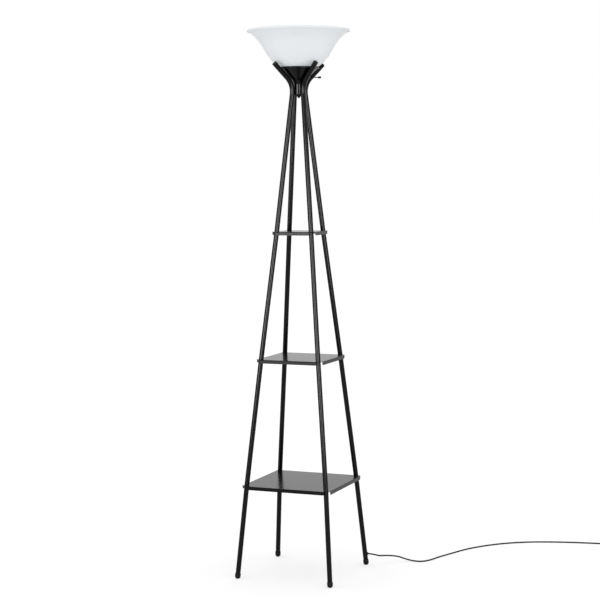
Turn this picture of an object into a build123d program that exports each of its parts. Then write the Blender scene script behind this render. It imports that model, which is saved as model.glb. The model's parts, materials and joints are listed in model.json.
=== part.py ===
from build123d import *
import math
import os

# Shelf floor lamp. Millimetres, +Z up, origin on the floor at the lamp's centre line.
# The front of the shelves faces -Y. Every leg is named after the corner that it stands at.

# The lip of the shade stands 1750 above the floor.

# ---------------------------------------------------------------- driving dimensions
TUBE_D = 15.9               # leg and arm tube
TUBE_WALL = 0.9
FOOT_HALF = 160.2           # leg axis to the lamp's centre planes, at the floor
FOOT_TURN = -0.75           # the feet stand slightly turned under the bottom shelf

# shelves, from the bottom up: side of the square, height of the deck, turn about the lamp's axis
BOTTOM_SIDE = 301.9
BOTTOM_Z = 299.6
BOTTOM_TURN = 0.0
MIDDLE_SIDE = 225.7
MIDDLE_Z = 703.4
MIDDLE_TURN = 0.0
TOP_SIDE = 145.9
TOP_Z = 1110.0
TOP_TURN = 2.4              # the upper half of the lamp stands slightly turned
SHEET_T = 1.0
FLANGE_H = 11.4             # turned-down edge, deck surface to lower edge
SHEET_BEND_R = 2.2          # outside radius of the folded edge
EAR_R = 15.0                # flat round ear under each leg, concentric with it
FLANGE_GAP = 0.5            # end of the ear's curve to the end of the flange
FLANGE_CORNER_R = 5.5       # lower corners of each flange

# arms: one bend above the neck, given by its virtual corner and the tip's centre
HEAD_Z = 1576.0             # height of the bend's corner, which all heights in the head start from
ARM_BEND_OFFSET = 21.5      # the corner, from the lamp's axis
ARM_BEND_R = 60.0
ARM_TIP_OFFSET = 92.6       # the tip, from the lamp's axis
ARM_TIP_RISE = 64.7         # the tip, above the corner
HEAD_TURN = 12.3            # arms and lampholder, about the lamp's axis

# shelf joints
NIPPLE_D = 9.7
NIPPLE_BORE_D = 7.0
NIPPLE_L = 27.0
INSERT_L = 11.0             # threaded insert in each tube end
NIPPLE_HOLE_CLEARANCE = 0.15

# foot caps and arm plugs
FOOT_CAP_D = 18.4
FOOT_CAP_BALL_UP = 8.0      # ball centre above the floor, along the leg
FOOT_CAP_H = 17.5
FOOT_CAP_FLOOR = 3.5        # cap thickness under the tube, along the leg
FOOT_CAP_EDGE_R = 1.2
ARM_PLUG_HEAD = 1.6
ARM_PLUG_L = 10.0

# funnel cup
CUP_RIM_D = 130.0           # outside of the rolled rim
CUP_RIM_RISE = 52.3         # middle of the rolled rim, above the arms' corners
CUP_BEAD_R = 2.8
CUP_WALL = 1.4
CUP_CONE_ANGLE = 45.0       # from the vertical
CUP_FILLET_R = 24.0         # cone to neck
NECK_DROP = 30.0            # neck's lower end, below the arms' corners
SADDLE_T = 0.8              # gap between neck and arm that the saddles fill
SADDLE_W = 9.0
SADDLE_H = 18.0

# lamp pipe and what it holds
PIPE_D = 9.7
PIPE_BORE_D = 6.6
WASHER_D = 20.0
WASHER_T = 1.2
NUT_AF = 14.0
NUT_T = 4.0
FINIAL_D = 21.0
FINIAL_H = 12.5
FINIAL_TIP_R = 2.0
FINIAL_THREAD_DEPTH = 6.0

# lampholder
HOLDER_RISE = 10.0          # cap's underside, above the arms' corners
HOLDER_CAP_D = 34.0
HOLDER_CAP_H = 9.0
HOLDER_CAP_EDGE_R = 5.0
HOLDER_CAP_WALL = 1.4
HOLDER_FLANGE_D = 47.0
HOLDER_FLANGE_T = 2.4
HOLDER_BODY_H = 16.5        # from the cap to the top of the flange, where the shade sits
BARREL_D = 39.6
BARREL_H = 34.5             # above the flange
BARREL_FLOOR_H = 5.5        # floor of the barrel's cell, above the flange
SCREW_SHELL_D = 28.0
SCREW_SHELL_WALL = 0.6
SCREW_SHELL_L = 25.0
CONTACT_D = 9.0
CONTACT_T = 1.4
SHADE_RING_D = 56.0
SHADE_RING_T = 3.0
SHADE_RING_SKIRT_D = 46.0
SHADE_RING_H = 9.0

# turn-knob
SWITCH_RISE = 12.0          # above the underside of the lampholder's cap
SHAFT_D = 3.0
SHAFT_RUNNING_CLEARANCE = 0.06
SHAFT_CUP_CLEARANCE = 1.0
SHAFT_INNER_OFFSET = 6.0    # blind end of the shaft's bore, from the lamp's axis
KNOB_D = 6.4
KNOB_L = 9.5
KNOB_END_OFFSET = 72.0      # knob's outer end, from the lamp's axis
KNOB_SOCKET_DEPTH = 7.0
KNOB_FLUTES = 12
KNOB_FLUTE_R = 0.45
KNOB_EDGE_R = 0.7

# shade: the outer face is a curve through four places, given by diameter and height over the seat
SHADE_HOLE_CLEARANCE = 0.6
SHADE_WALL = 2.4
SHADE_FLAT_D = 60.0         # flat floor that the lampholder's flange carries
SHADE_SHOULDER_D = 161.5
SHADE_SHOULDER_H = 35.5
SHADE_WAIST_D = 220.0
SHADE_WAIST_H = 76.5
SHADE_FLARE_D = 254.6
SHADE_FLARE_H = 102.5
SHADE_MOUTH_D = 329.0       # over the lip
SHADE_H = 138.5             # to the top of the lip
SHADE_LIP_R = 4.0
SHADE_MOUTH_ANGLE = 50.0    # of the wall at the mouth, from the vertical

# bulb
BULB_D = 60.0
BULB_CENTRE_UP = 50.0       # ball centre above the top of the lampholder
BULB_NECK_D = 27.0
BULB_GLASS_WALL = 1.0
BULB_BASE_D = 26.2
BULB_TIP_D = 9.0
BULB_TIP_H = 4.0
BULB_CROWN_H = 2.4          # glass neck that stands in the base

# cord, its bushing and plug
CORD_D = 5.0
CORD_BORE_CLEARANCE = 0.05
EXIT_Z = 38.0               # cord hole in the back right leg, above the floor
BUSHING_BARREL_D = 8.0
BUSHING_FLANGE_D = 10.4
BUSHING_STAND = 2.6         # how far the bushing stands out from the tube
BUSHING_INSIDE = 2.8        # from the tube's outside to the bushing's inner end
BUSHING_EDGE_R = 1.2
LEAD_EXIT_BEND_R = 5.5
LEAD_LEAVE_DROP = 46.0      # where the lead starts to leave the arm's axis, below the arms' corners
LEAD_NECK_OFFSET = 9.6      # lead in the neck, from the lamp's axis
LEAD_NECK_DROP = 2.0        # where the lead turns upright in the neck, below the arms' corners
LEAD_HOLE_CLEARANCE = 0.7
CORD_REST = 0.05            # cord above the floor

# the cord's route after its first straight run, chosen by hand: from the bushing's face in plan,
# and how far the cord stands above the floor
CORD_ROUTE = [
    (37.3, 8.9, 28.85),
    (50.3, 37.9, 25.45),
    (75.3, 83.9, 14.45),
    (98.3, 91.4, 5.45),
    (128.3, 89.9, 0.85),
    (158.3, 96.9, 0.0),
    (177.3, 130.9, 0.0),
    (188.3, 176.9, 0.0),
    (214.3, 240.9, 0.0),
    (238.3, 306.9, 0.0),
    (272.3, 364.9, 0.0),
    (314.3, 417.9, 0.0),
    (366.3, 463.9, 0.0),
    (426.3, 498.9, 0.0),
    (492.3, 522.9, 0.0),
    (560.3, 540.9, 0.0),
    (629.3, 552.9, 0.0),
    (694.3, 560.9, 0.0),
]
CORD_FIRST_RUN = 16.0
CORD_STRAIGHT_SHARE = 0.45  # part of the shorter run that an arc takes

# coil of the cord's unseen length, and the plug beside it
COIL_MIDDLE_D = 58.0
COIL_BUNDLE_W = 11.0
COIL_BUNDLE_H = 11.0
COIL_STUB_L = 20.0          # straight cord where the coil is reached
COIL_PLUG_STUB_L = 32.0     # straight cord from the coil to the plug
PLUG_TURN = 0.0             # from where the cord comes in to where the plug leaves
PLUG_L = 27.0
PLUG_W = 23.0
PLUG_H = 13.0
PLUG_EDGE_R = 3.5
PLUG_TAIL_L = 20.0
PLUG_TAIL_D = 8.0
BLADE_L = 16.5
BLADE_W = 6.3
BLADE_T = 1.5
BLADE_SPACING = 12.7
BLADE_ROOT = 5.0            # length of each blade inside the plug's body

# ---------------------------------------------------------------- values worked out from them
TUBE_R = TUBE_D / 2
TUBE_BORE_R = TUBE_R - TUBE_WALL
CORD_R = CORD_D / 2
CORD_LIE_Z = CORD_R + CORD_REST
ARM_TIP_Z = HEAD_Z + ARM_TIP_RISE
CUP_RIM_Z = HEAD_Z + CUP_RIM_RISE
NECK_BOTTOM_Z = HEAD_Z - NECK_DROP
HOLDER_BASE_Z = HEAD_Z + HOLDER_RISE
SHADE_SEAT_Z = HOLDER_BASE_Z + HOLDER_CAP_H + HOLDER_BODY_H
BARREL_CELL_Z = SHADE_SEAT_Z + BARREL_FLOOR_H
BARREL_TOP_Z = SHADE_SEAT_Z + BARREL_H
SWITCH_Z = HOLDER_BASE_Z + SWITCH_RISE
OVERRUN = 30.0              # how far a cutting shape runs past what it cuts
SPACE = 3 * BOTTOM_SIDE     # half-width of the slabs that trim ends level

CORNERS = {
    "front_left": (-1, -1),
    "back_left": (-1, 1),
    "front_right": (1, -1),
    "back_right": (1, 1),
}
SHELVES = {
    "bottom": (BOTTOM_SIDE, BOTTOM_Z, BOTTOM_TURN),
    "middle": (MIDDLE_SIDE, MIDDLE_Z, MIDDLE_TURN),
    "top": (TOP_SIDE, TOP_Z, TOP_TURN),
}
CORD_CORNER = "back_right"  # the leg that the lead runs up in


# ---------------------------------------------------------------- helpers
def slab(low, high):
    """Wide level slab between two heights."""
    return Pos(0, 0, low) * Box(2 * SPACE, 2 * SPACE, high - low, align=(Align.CENTER, Align.CENTER, Align.MIN))


def rod(start, end, radius):
    """Solid round bar from one point to another."""
    along = end - start
    align = (Align.CENTER, Align.CENTER, Align.MIN)
    return Plane(origin=start, z_dir=along) * Cylinder(radius, along.length, align=align)


def longer_rod(start, end, radius):
    """The same bar, run past both its ends."""
    step = (end - start).normalized() * OVERRUN
    return rod(start - step, end + step, radius)


def disc(radius, low, high):
    """Round disc or bar on the lamp's axis between two heights."""
    return Pos(0, 0, low) * Cylinder(radius, high - low, align=(Align.CENTER, Align.CENTER, Align.MIN))


def turned(lines):
    """Solid of revolution about the lamp's axis from a closed outline of (reach, height)."""
    return revolve(Plane.XZ * make_face(lines), axis=Axis.Z)


def round_sweep(path, radius):
    """Round bar along a path."""
    return sweep(Plane(origin=path @ 0, z_dir=path % 0) * Circle(radius), path=path)


def azimuth(corner):
    """Direction of a corner about the lamp's axis, in degrees."""
    return math.degrees(math.atan2(corner[1], corner[0]))


def polar(reach, angle, height):
    """Point at a distance from the lamp's axis, in a direction in degrees."""
    return Vector(reach * math.cos(math.radians(angle)), reach * math.sin(math.radians(angle)), height)


def foot_point(corner):
    """Where a leg's axis meets the floor."""
    return Vector(corner[0] * FOOT_HALF, corner[1] * FOOT_HALF, 0).rotate(Axis.Z, FOOT_TURN)


def ear_point(shelf_name, corner):
    """Where a leg's axis meets a shelf's deck."""
    side, height, turn = SHELVES[shelf_name]
    inset = side / 2 - EAR_R
    return Vector(corner[0] * inset, corner[1] * inset, height).rotate(Axis.Z, turn)


def arm_bend_point(corner):
    """Virtual corner of an arm's bend."""
    return polar(ARM_BEND_OFFSET, azimuth(corner) + HEAD_TURN, HEAD_Z)


def arm_tip_point(corner):
    """Centre of an arm's end face."""
    return polar(ARM_TIP_OFFSET, azimuth(corner) + HEAD_TURN, ARM_TIP_Z)


def leg_points(corner):
    """The points that a leg runs through, from the floor to the arm's bend."""
    ears = [ear_point(name, corner) for name in SHELVES]
    return [foot_point(corner)] + ears + [arm_bend_point(corner)]


# ---------------------------------------------------------------- legs
def level_tube(start, end, low, high):
    """Straight tube through two points, its ends cut level at two heights."""
    outside = longer_rod(start, end, TUBE_R)
    bore = longer_rod(start, end, TUBE_BORE_R)
    return (outside - bore) & slab(low, high)


def foot_tube(corner):
    """Tube from the foot cap to the underside of the bottom shelf."""
    foot = foot_point(corner)
    ear = ear_point("bottom", corner)
    upwards = (ear - foot).normalized()
    seat = foot + upwards * FOOT_CAP_FLOOR
    tube = rod(seat, ear + upwards * OVERRUN, TUBE_R) - longer_rod(seat, ear, TUBE_BORE_R)
    return tube & slab(0, BOTTOM_Z - SHEET_T)


def arm_path(corner):
    """Centre line of an arm tube, run past its lower end."""
    start = ear_point("top", corner)
    bend = arm_bend_point(corner)
    below = start - (bend - start).normalized() * OVERRUN
    return FilletPolyline(below, bend, arm_tip_point(corner), radius=ARM_BEND_R)


def arm_bar(corner, radius):
    """Solid bar along an arm, from the top shelf to the tip."""
    return round_sweep(arm_path(corner), radius) & slab(TOP_Z, ARM_TIP_Z + SPACE)


def neck_reach():
    """Smallest distance between an arm's centre line and the lamp's axis, and its height."""
    path = arm_path(CORNERS[CORD_CORNER])
    places = [path @ (step / 400) for step in range(401)]
    return min((math.hypot(place.X, place.Y), place.Z) for place in places)


def foot_cap(corner):
    """Round-bottomed cap on the end of a leg, flat where it stands on the floor."""
    foot = foot_point(corner)
    radius = FOOT_CAP_D / 2
    ball = FOOT_CAP_BALL_UP
    low = ball - radius
    outline = [
        Line((0, low), (0, FOOT_CAP_FLOOR)),
        Line((0, FOOT_CAP_FLOOR), (TUBE_R, FOOT_CAP_FLOOR)),
        Line((TUBE_R, FOOT_CAP_FLOOR), (TUBE_R, FOOT_CAP_H)),
        Line((TUBE_R, FOOT_CAP_H), (radius - FOOT_CAP_EDGE_R, FOOT_CAP_H)),
        CenterArc((radius - FOOT_CAP_EDGE_R, FOOT_CAP_H - FOOT_CAP_EDGE_R), FOOT_CAP_EDGE_R, 90, -90),
        Line((radius, FOOT_CAP_H - FOOT_CAP_EDGE_R), (radius, ball)),
        CenterArc((0, ball), radius, 0, -90),
    ]
    cap = Plane(origin=foot, z_dir=ear_point("bottom", corner) - foot) * turned(outline)
    return cap & slab(0, SPACE)


def arm_plug(corner):
    """Plug in an arm's open end, its flat head covering the cut."""
    tip = arm_tip_point(corner)
    outwards = (tip - arm_bend_point(corner)).normalized()
    head = rod(tip, tip + outwards * ARM_PLUG_HEAD, TUBE_R)
    stem = rod(tip - outwards * ARM_PLUG_L, tip, TUBE_BORE_R)
    return head + stem


# ---------------------------------------------------------------- shelves and their joints
def joint_axis(shelf_name, corner):
    """Middle and direction of the threaded joint through a shelf's ear."""
    points = leg_points(corner)
    place = 1 + list(SHELVES).index(shelf_name)
    below = (points[place] - points[place - 1]).normalized()
    above = (points[place + 1] - points[place]).normalized()
    direction = (below + above).normalized()
    return points[place] - direction * (SHEET_T / 2), direction


def joint_rod(shelf_name, corner, radius, length):
    """Round bar on a joint's axis, centred in the sheet."""
    middle, direction = joint_axis(shelf_name, corner)
    return rod(middle - direction * (length / 2), middle + direction * (length / 2), radius)


def nipple(shelf_name, corner):
    """Hollow threaded nipple through a shelf's ear."""
    outside = joint_rod(shelf_name, corner, NIPPLE_D / 2, NIPPLE_L)
    return outside - joint_rod(shelf_name, corner, NIPPLE_BORE_D / 2, 2 * NIPPLE_L)


def inserts(shelf_name, corner):
    """Threaded inserts in the tube ends under and over a shelf's ear."""
    points = leg_points(corner)
    place = 1 + list(SHELVES).index(shelf_name)
    deck = SHELVES[shelf_name][1]
    under = longer_rod(points[place - 1], points[place], TUBE_BORE_R) & slab(deck - SHEET_T - INSERT_L, deck - SHEET_T)
    over = longer_rod(points[place], points[place + 1], TUBE_BORE_R) & slab(deck, deck + INSERT_L)
    thread = joint_rod(shelf_name, corner, NIPPLE_D / 2, 4 * INSERT_L)
    return [under - thread, over - thread]


def flange(side):
    """Turned-down edge along the front of a shelf, with rounded lower corners."""
    half = side / 2
    middle = (-half + SHEET_BEND_R, -SHEET_BEND_R)
    inner = -half + SHEET_T
    outline = [
        CenterArc(middle, SHEET_BEND_R, 90, 90),
        Line((-half, -SHEET_BEND_R), (-half, -FLANGE_H)),
        Line((-half, -FLANGE_H), (inner, -FLANGE_H)),
        Line((inner, -FLANGE_H), (inner, -SHEET_BEND_R)),
        CenterArc(middle, SHEET_BEND_R - SHEET_T, 180, -90),
        Line((middle[0], -SHEET_T), (middle[0], 0)),
    ]
    length = side - 2 * (EAR_R + FLANGE_GAP)
    folded = extrude(Plane.YZ * make_face(outline), amount=length / 2, both=True)
    front = Plane.XZ * RectangleRounded(length, 2 * FLANGE_H, FLANGE_CORNER_R)
    return folded & extrude(front, amount=half + OVERRUN)


def shelf(shelf_name):
    """Folded sheet tray with a flat round ear at each corner."""
    side, deck, turn = SHELVES[shelf_name]
    plate = RectangleRounded(side, side, EAR_R)
    length = side - 2 * (EAR_R + FLANGE_GAP)
    edge = Pos(0, -(side - SHEET_BEND_R) / 2) * Rectangle(length, SHEET_BEND_R)
    for quarter in range(4):
        plate -= Rot(0, 0, 90 * quarter) * edge
    tray = extrude(plate, amount=-SHEET_T)
    for quarter in range(4):
        tray += Rot(0, 0, 90 * quarter) * flange(side)
    tray = Pos(0, 0, deck) * Rot(0, 0, turn) * tray
    for corner in CORNERS.values():
        tray -= joint_rod(shelf_name, corner, NIPPLE_D / 2 + NIPPLE_HOLE_CLEARANCE, 4 * INSERT_L)
    return tray


# ---------------------------------------------------------------- funnel cup and lamp pipe
NECK_TOUCH_REACH, NECK_TOUCH_Z = neck_reach()
NECK_R = NECK_TOUCH_REACH - TUBE_R - SADDLE_T
CUP_RIM_MIDDLE = CUP_RIM_D / 2 - CUP_BEAD_R
CUP_CORNER_Z = CUP_RIM_Z - (CUP_RIM_MIDDLE - NECK_R) / math.tan(math.radians(CUP_CONE_ANGLE))


def cup_face(inwards):
    """Half outline of the cup, moved inwards by part of its wall."""
    reach = NECK_R - inwards
    corner = CUP_CORNER_Z + inwards * math.tan(math.radians(CUP_CONE_ANGLE / 2))
    top = reach + (CUP_RIM_Z - corner) * math.tan(math.radians(CUP_CONE_ANGLE))
    points = [(reach, NECK_BOTTOM_Z), (reach, corner), (top, CUP_RIM_Z)]
    return FilletPolyline(*points, radius=CUP_FILLET_R + inwards)


def lead_points():
    """Route of the lead in the leg, from the cord bushing's outer face to the lampholder."""
    corner = CORNERS[CORD_CORNER]
    *_, last, bend = leg_points(corner)
    nipple_ends = []
    for shelf_name in SHELVES:
        middle, along = joint_axis(shelf_name, corner)
        nipple_ends += [middle - along * (NIPPLE_L / 2), middle + along * (NIPPLE_L / 2)]
    turn = exit_axis()[0]
    leave = bend + (last - bend) * (LEAD_LEAVE_DROP / (bend.Z - last.Z))
    direction = azimuth(corner) + HEAD_TURN
    upright = polar(LEAD_NECK_OFFSET, direction, HEAD_Z - LEAD_NECK_DROP)
    end = polar(LEAD_NECK_OFFSET, direction, HOLDER_BASE_Z)
    return [cord_exit(), turn] + nipple_ends + [leave, upright, end]


def lead_hole():
    """Bar that cuts the lead's way out of the arm and into the neck."""
    *_, leave, upright, end = lead_points()
    return rod(leave, upright, CORD_R + LEAD_HOLE_CLEARANCE)


def cup():
    """Spun funnel with a rolled rim, a straight neck and a saddle for each arm."""
    outer = cup_face(0)
    inner = cup_face(CUP_WALL)
    rim_line = Line(outer @ 1, inner @ 1)
    base_line = Line(inner @ 0, outer @ 0)
    body = turned([outer, rim_line, inner, base_line])
    body += revolve(Plane.XZ * Pos(CUP_RIM_MIDDLE, CUP_RIM_Z) * Circle(CUP_BEAD_R), axis=Axis.Z)
    body += disc(NECK_R, NECK_BOTTOM_Z, NECK_BOTTOM_Z + CUP_WALL)
    body -= disc(PIPE_D / 2, NECK_BOTTOM_Z - OVERRUN, NECK_BOTTOM_Z + OVERRUN)
    depth = NECK_TOUCH_REACH - NECK_R + CUP_WALL / 2
    for corner in CORNERS.values():
        middle = polar(NECK_R - CUP_WALL / 2 + depth / 2, azimuth(corner) + HEAD_TURN, NECK_TOUCH_Z)
        pad = Box(depth, SADDLE_W, SADDLE_H)
        saddle = Pos(*middle) * Rot(0, 0, azimuth(corner) + HEAD_TURN) * pad
        body += saddle - arm_bar(corner, TUBE_R)
    body -= lead_hole()
    return body - shaft_rod(SHAFT_D / 2 + SHAFT_CUP_CLEARANCE, BARREL_D / 2, KNOB_END_OFFSET)


def lamp_pipe():
    """Threaded pipe from the finial to the lampholder."""
    low = NECK_BOTTOM_Z - FINIAL_THREAD_DEPTH
    high = HOLDER_BASE_Z + HOLDER_CAP_H - HOLDER_CAP_WALL
    return disc(PIPE_D / 2, low, high) - disc(PIPE_BORE_D / 2, low, high)


def pipe_washer():
    """Washer on the floor of the neck."""
    low = NECK_BOTTOM_Z + CUP_WALL
    return disc(WASHER_D / 2, low, low + WASHER_T) - disc(PIPE_D / 2, low, low + WASHER_T)


def pipe_nut():
    """Hexagon lock nut on the washer."""
    low = NECK_BOTTOM_Z + CUP_WALL + WASHER_T
    hexagon = RegularPolygon(NUT_AF / 2, 6, major_radius=False)
    return Pos(0, 0, low) * extrude(hexagon, amount=NUT_T) - disc(PIPE_D / 2, low, low + NUT_T)


def finial():
    """Pointed cap nut that closes the neck from below."""
    tip = NECK_BOTTOM_Z - FINIAL_H
    slope = FilletPolyline(
        (0, tip), (FINIAL_TIP_R, tip), (FINIAL_D / 2, NECK_BOTTOM_Z), radius=FINIAL_TIP_R / 2
    )
    body = turned([slope, Line((FINIAL_D / 2, NECK_BOTTOM_Z), (0, NECK_BOTTOM_Z)), Line((0, NECK_BOTTOM_Z), (0, tip))])
    return body - disc(PIPE_D / 2, NECK_BOTTOM_Z - FINIAL_THREAD_DEPTH, NECK_BOTTOM_Z)


# ---------------------------------------------------------------- lampholder and switch
def shaft_rod(radius, near, far):
    """Round bar on the switch's axis between two distances from the lamp's axis."""
    return rod(polar(near, HEAD_TURN, SWITCH_Z), polar(far, HEAD_TURN, SWITCH_Z), radius)


def holder_cap():
    """Metal cap under the lampholder, threaded on the pipe."""
    top = HOLDER_BASE_Z + HOLDER_CAP_H
    cap = disc(HOLDER_CAP_D / 2, HOLDER_BASE_Z, top)
    cap = fillet(cap.edges().group_by(Axis.Z)[0], HOLDER_CAP_EDGE_R)
    cap -= disc(PIPE_D / 2, HOLDER_BASE_Z, top)
    ring = disc(HOLDER_CAP_D / 2 - HOLDER_CAP_EDGE_R, top - HOLDER_CAP_WALL, top)
    return cap - ring


def holder_body():
    """Insulating body: switch housing below, flange for the shade, barrel round the screw shell."""
    low = HOLDER_BASE_Z + HOLDER_CAP_H
    body = disc(HOLDER_CAP_D / 2, low, SHADE_SEAT_Z)
    body += disc(HOLDER_FLANGE_D / 2, SHADE_SEAT_Z - HOLDER_FLANGE_T, SHADE_SEAT_Z)
    body += disc(BARREL_D / 2, SHADE_SEAT_Z, BARREL_TOP_Z)
    body -= disc(SCREW_SHELL_D / 2, BARREL_CELL_Z, BARREL_TOP_Z)
    return body - shaft_rod(SHAFT_D / 2 + SHAFT_RUNNING_CLEARANCE, SHAFT_INNER_OFFSET, HOLDER_CAP_D)


def screw_shell():
    """Brass shell that takes the bulb's base."""
    high = BARREL_CELL_Z + SCREW_SHELL_L
    outside = disc(SCREW_SHELL_D / 2, BARREL_CELL_Z, high)
    return outside - disc(SCREW_SHELL_D / 2 - SCREW_SHELL_WALL, BARREL_CELL_Z, high)


def centre_contact():
    """Brass disc under the bulb's tip."""
    return disc(CONTACT_D / 2, BARREL_CELL_Z, BARREL_CELL_Z + CONTACT_T)


def shade_ring():
    """Ring threaded on the barrel, clamping the shade's floor on the flange."""
    low = SHADE_SEAT_Z + SHADE_WALL
    ring = disc(SHADE_RING_D / 2, low, low + SHADE_RING_T)
    ring += disc(SHADE_RING_SKIRT_D / 2, low, low + SHADE_RING_H)
    return ring - disc(BARREL_D / 2, low, low + SHADE_RING_H)


def switch_shaft():
    """Thin shaft from the switch to the knob."""
    near = SHAFT_INNER_OFFSET + 2 * SHAFT_RUNNING_CLEARANCE
    return shaft_rod(SHAFT_D / 2, near, KNOB_END_OFFSET - KNOB_L + KNOB_SOCKET_DEPTH)


def switch_knob():
    """Small fluted knob on the shaft's end."""
    knob = Cylinder(KNOB_D / 2, KNOB_L)
    knob = fillet(knob.edges().filter_by(GeomType.CIRCLE), KNOB_EDGE_R)
    for flute in range(KNOB_FLUTES):
        cut = Pos(KNOB_D / 2, 0, 0) * Cylinder(KNOB_FLUTE_R, KNOB_L)
        knob -= Rot(0, 0, 360 / KNOB_FLUTES * flute) * cut
    middle = polar(KNOB_END_OFFSET - KNOB_L / 2, HEAD_TURN, SWITCH_Z)
    knob = Plane(origin=middle, z_dir=polar(1, HEAD_TURN, 0)) * knob
    near = KNOB_END_OFFSET - KNOB_L
    return knob - shaft_rod(SHAFT_D / 2, near - OVERRUN, near + KNOB_SOCKET_DEPTH)


# ---------------------------------------------------------------- shade and bulb
def shade_points(inwards):
    """Points of the bowl's face from its floor to its mouth, moved inwards by part of the wall."""
    outer = [
        (SHADE_FLAT_D / 2, SHADE_SEAT_Z),
        (SHADE_SHOULDER_D / 2, SHADE_SEAT_Z + SHADE_SHOULDER_H),
        (SHADE_WAIST_D / 2, SHADE_SEAT_Z + SHADE_WAIST_H),
        (SHADE_FLARE_D / 2, SHADE_SEAT_Z + SHADE_FLARE_H),
        (SHADE_MOUTH_D / 2 - SHADE_LIP_R, SHADE_SEAT_Z + SHADE_H - SHADE_LIP_R),
    ]
    moved = []
    for place, (reach, height) in enumerate(outer):
        before = outer[max(place - 1, 0)]
        after = outer[min(place + 1, len(outer) - 1)]
        along = Vector(after[0] - before[0], after[1] - before[1]).normalized()
        moved.append((reach - along.Y * inwards, height + along.X * inwards))
    moved[0] = (moved[0][0], SHADE_SEAT_Z + inwards)
    return moved


def shade_face(inwards):
    """Curve of the bowl's face through its points."""
    angle = math.radians(SHADE_MOUTH_ANGLE)
    start = Vector((SHADE_SHOULDER_D - SHADE_FLAT_D) / 2, SHADE_SHOULDER_H).normalized()
    return Spline(*shade_points(inwards), tangents=[start, (math.sin(angle), math.cos(angle))])


def shade():
    """Flared bowl with a flat floor that the lampholder passes through."""
    hole = BARREL_D / 2 + SHADE_HOLE_CLEARANCE
    outer = shade_face(0)
    inner = shade_face(SHADE_WALL)
    top = SHADE_SEAT_Z + SHADE_WALL
    outline = [
        Line((hole, SHADE_SEAT_Z), outer @ 0),
        outer,
        Line(outer @ 1, inner @ 1),
        inner,
        Line(inner @ 0, (hole, top)),
        Line((hole, top), (hole, SHADE_SEAT_Z)),
    ]
    bowl = turned(outline)
    lip = Pos(*shade_points(0)[-1]) * Circle(SHADE_LIP_R)
    return bowl + revolve(Plane.XZ * lip, axis=Axis.Z)


def bulb_outline(inwards, low):
    """Closed half outline of the bulb's glass, moved inwards by its wall."""
    neck = BULB_NECK_D / 2 - inwards
    ball = BULB_D / 2 - inwards
    centre = BARREL_TOP_Z + BULB_CENTRE_UP
    flank = Spline((neck, BARREL_TOP_Z), (ball, centre), tangents=[(0, 1), (0, 1)])
    return [
        Line((0, low), (neck, low)),
        Line((neck, low), (neck, BARREL_TOP_Z)),
        flank,
        CenterArc((0, centre), ball, 0, 90),
        Line((0, centre + ball), (0, low)),
    ]


def bulb_base_top():
    """Height at which the bulb's base ends."""
    return BARREL_TOP_Z - BULB_CROWN_H


def bulb_glass():
    """Hollow glass of the bulb."""
    low = bulb_base_top()
    return turned(bulb_outline(0, low)) - turned(bulb_outline(BULB_GLASS_WALL, low + BULB_GLASS_WALL))


def bulb_base():
    """Screw base of the bulb, standing on the centre contact."""
    low = BARREL_CELL_Z + CONTACT_T
    tip = BULB_TIP_D / 2
    wall = BULB_BASE_D / 2
    outline = Polyline(
        (0, low), (tip, low), (wall, low + BULB_TIP_H), (wall, bulb_base_top()), (0, bulb_base_top()), close=True
    )
    return turned([outline])


# ---------------------------------------------------------------- cord
def exit_axis():
    """Where the cord hole's axis starts, on the leg's axis, and the way that it points."""
    corner = CORNERS[CORD_CORNER]
    foot = foot_point(corner)
    ear = ear_point("bottom", corner)
    start = foot + (ear - foot) * (EXIT_Z / (ear.Z - foot.Z))
    return start, Vector(1, 0, 0)


def cord_exit():
    """Middle of the bushing's outer face."""
    start, outwards = exit_axis()
    return start + outwards * (TUBE_R + BUSHING_STAND)


def cord_bushing():
    """Flanged bushing in the cord hole, seated on the round of the tube."""
    start, outwards = exit_axis()
    face = start + outwards * (TUBE_R + BUSHING_STAND)
    flange_back = start + outwards * (TUBE_R / 2)
    head = rod(flange_back, face, BUSHING_FLANGE_D / 2)
    head = fillet(head.edges().filter_by(GeomType.CIRCLE).sort_by_distance(face)[0], BUSHING_EDGE_R)
    corner = CORNERS[CORD_CORNER]
    head -= longer_rod(foot_point(corner), ear_point("bottom", corner), TUBE_R)
    inner_end = start + outwards * (TUBE_R - BUSHING_INSIDE)
    barrel = rod(inner_end, start + outwards * (TUBE_R + BUSHING_STAND / 2), BUSHING_BARREL_D / 2)
    bore = rod(start, face + outwards * BUSHING_STAND, CORD_R + CORD_BORE_CLEARANCE)
    return head + barrel - bore


def cord_hole():
    """Bar that cuts the bushing's hole in the leg."""
    start, outwards = exit_axis()
    return rod(start, start + outwards * TUBE_D, BUSHING_BARREL_D / 2)


def lead():
    """Lead inside the leg, arm and neck."""
    points = lead_points()
    radii = [LEAD_EXIT_BEND_R] + route_radii(points)[1:]
    return round_sweep(FilletPolyline(*points, radius=radii), CORD_R)


def route_radii(points):
    """Arc at each corner of a route, as large as its two runs allow."""
    radii = []
    for before, here, after in zip(points, points[1:], points[2:]):
        shorter = min((here - before).length, (after - here).length)
        turn = math.radians((here - before).get_angle(after - here))
        radii.append(CORD_STRAIGHT_SHARE * shorter / math.tan(turn / 2))
    return radii


def cord_points():
    """Route of the free cord, from the bushing to the coil."""
    start = cord_exit()
    outwards = exit_axis()[1]
    route = [Vector(start.X + ahead, start.Y + across, CORD_LIE_Z + lift) for ahead, across, lift in CORD_ROUTE]
    return [start, start + outwards * CORD_FIRST_RUN] + route


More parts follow.
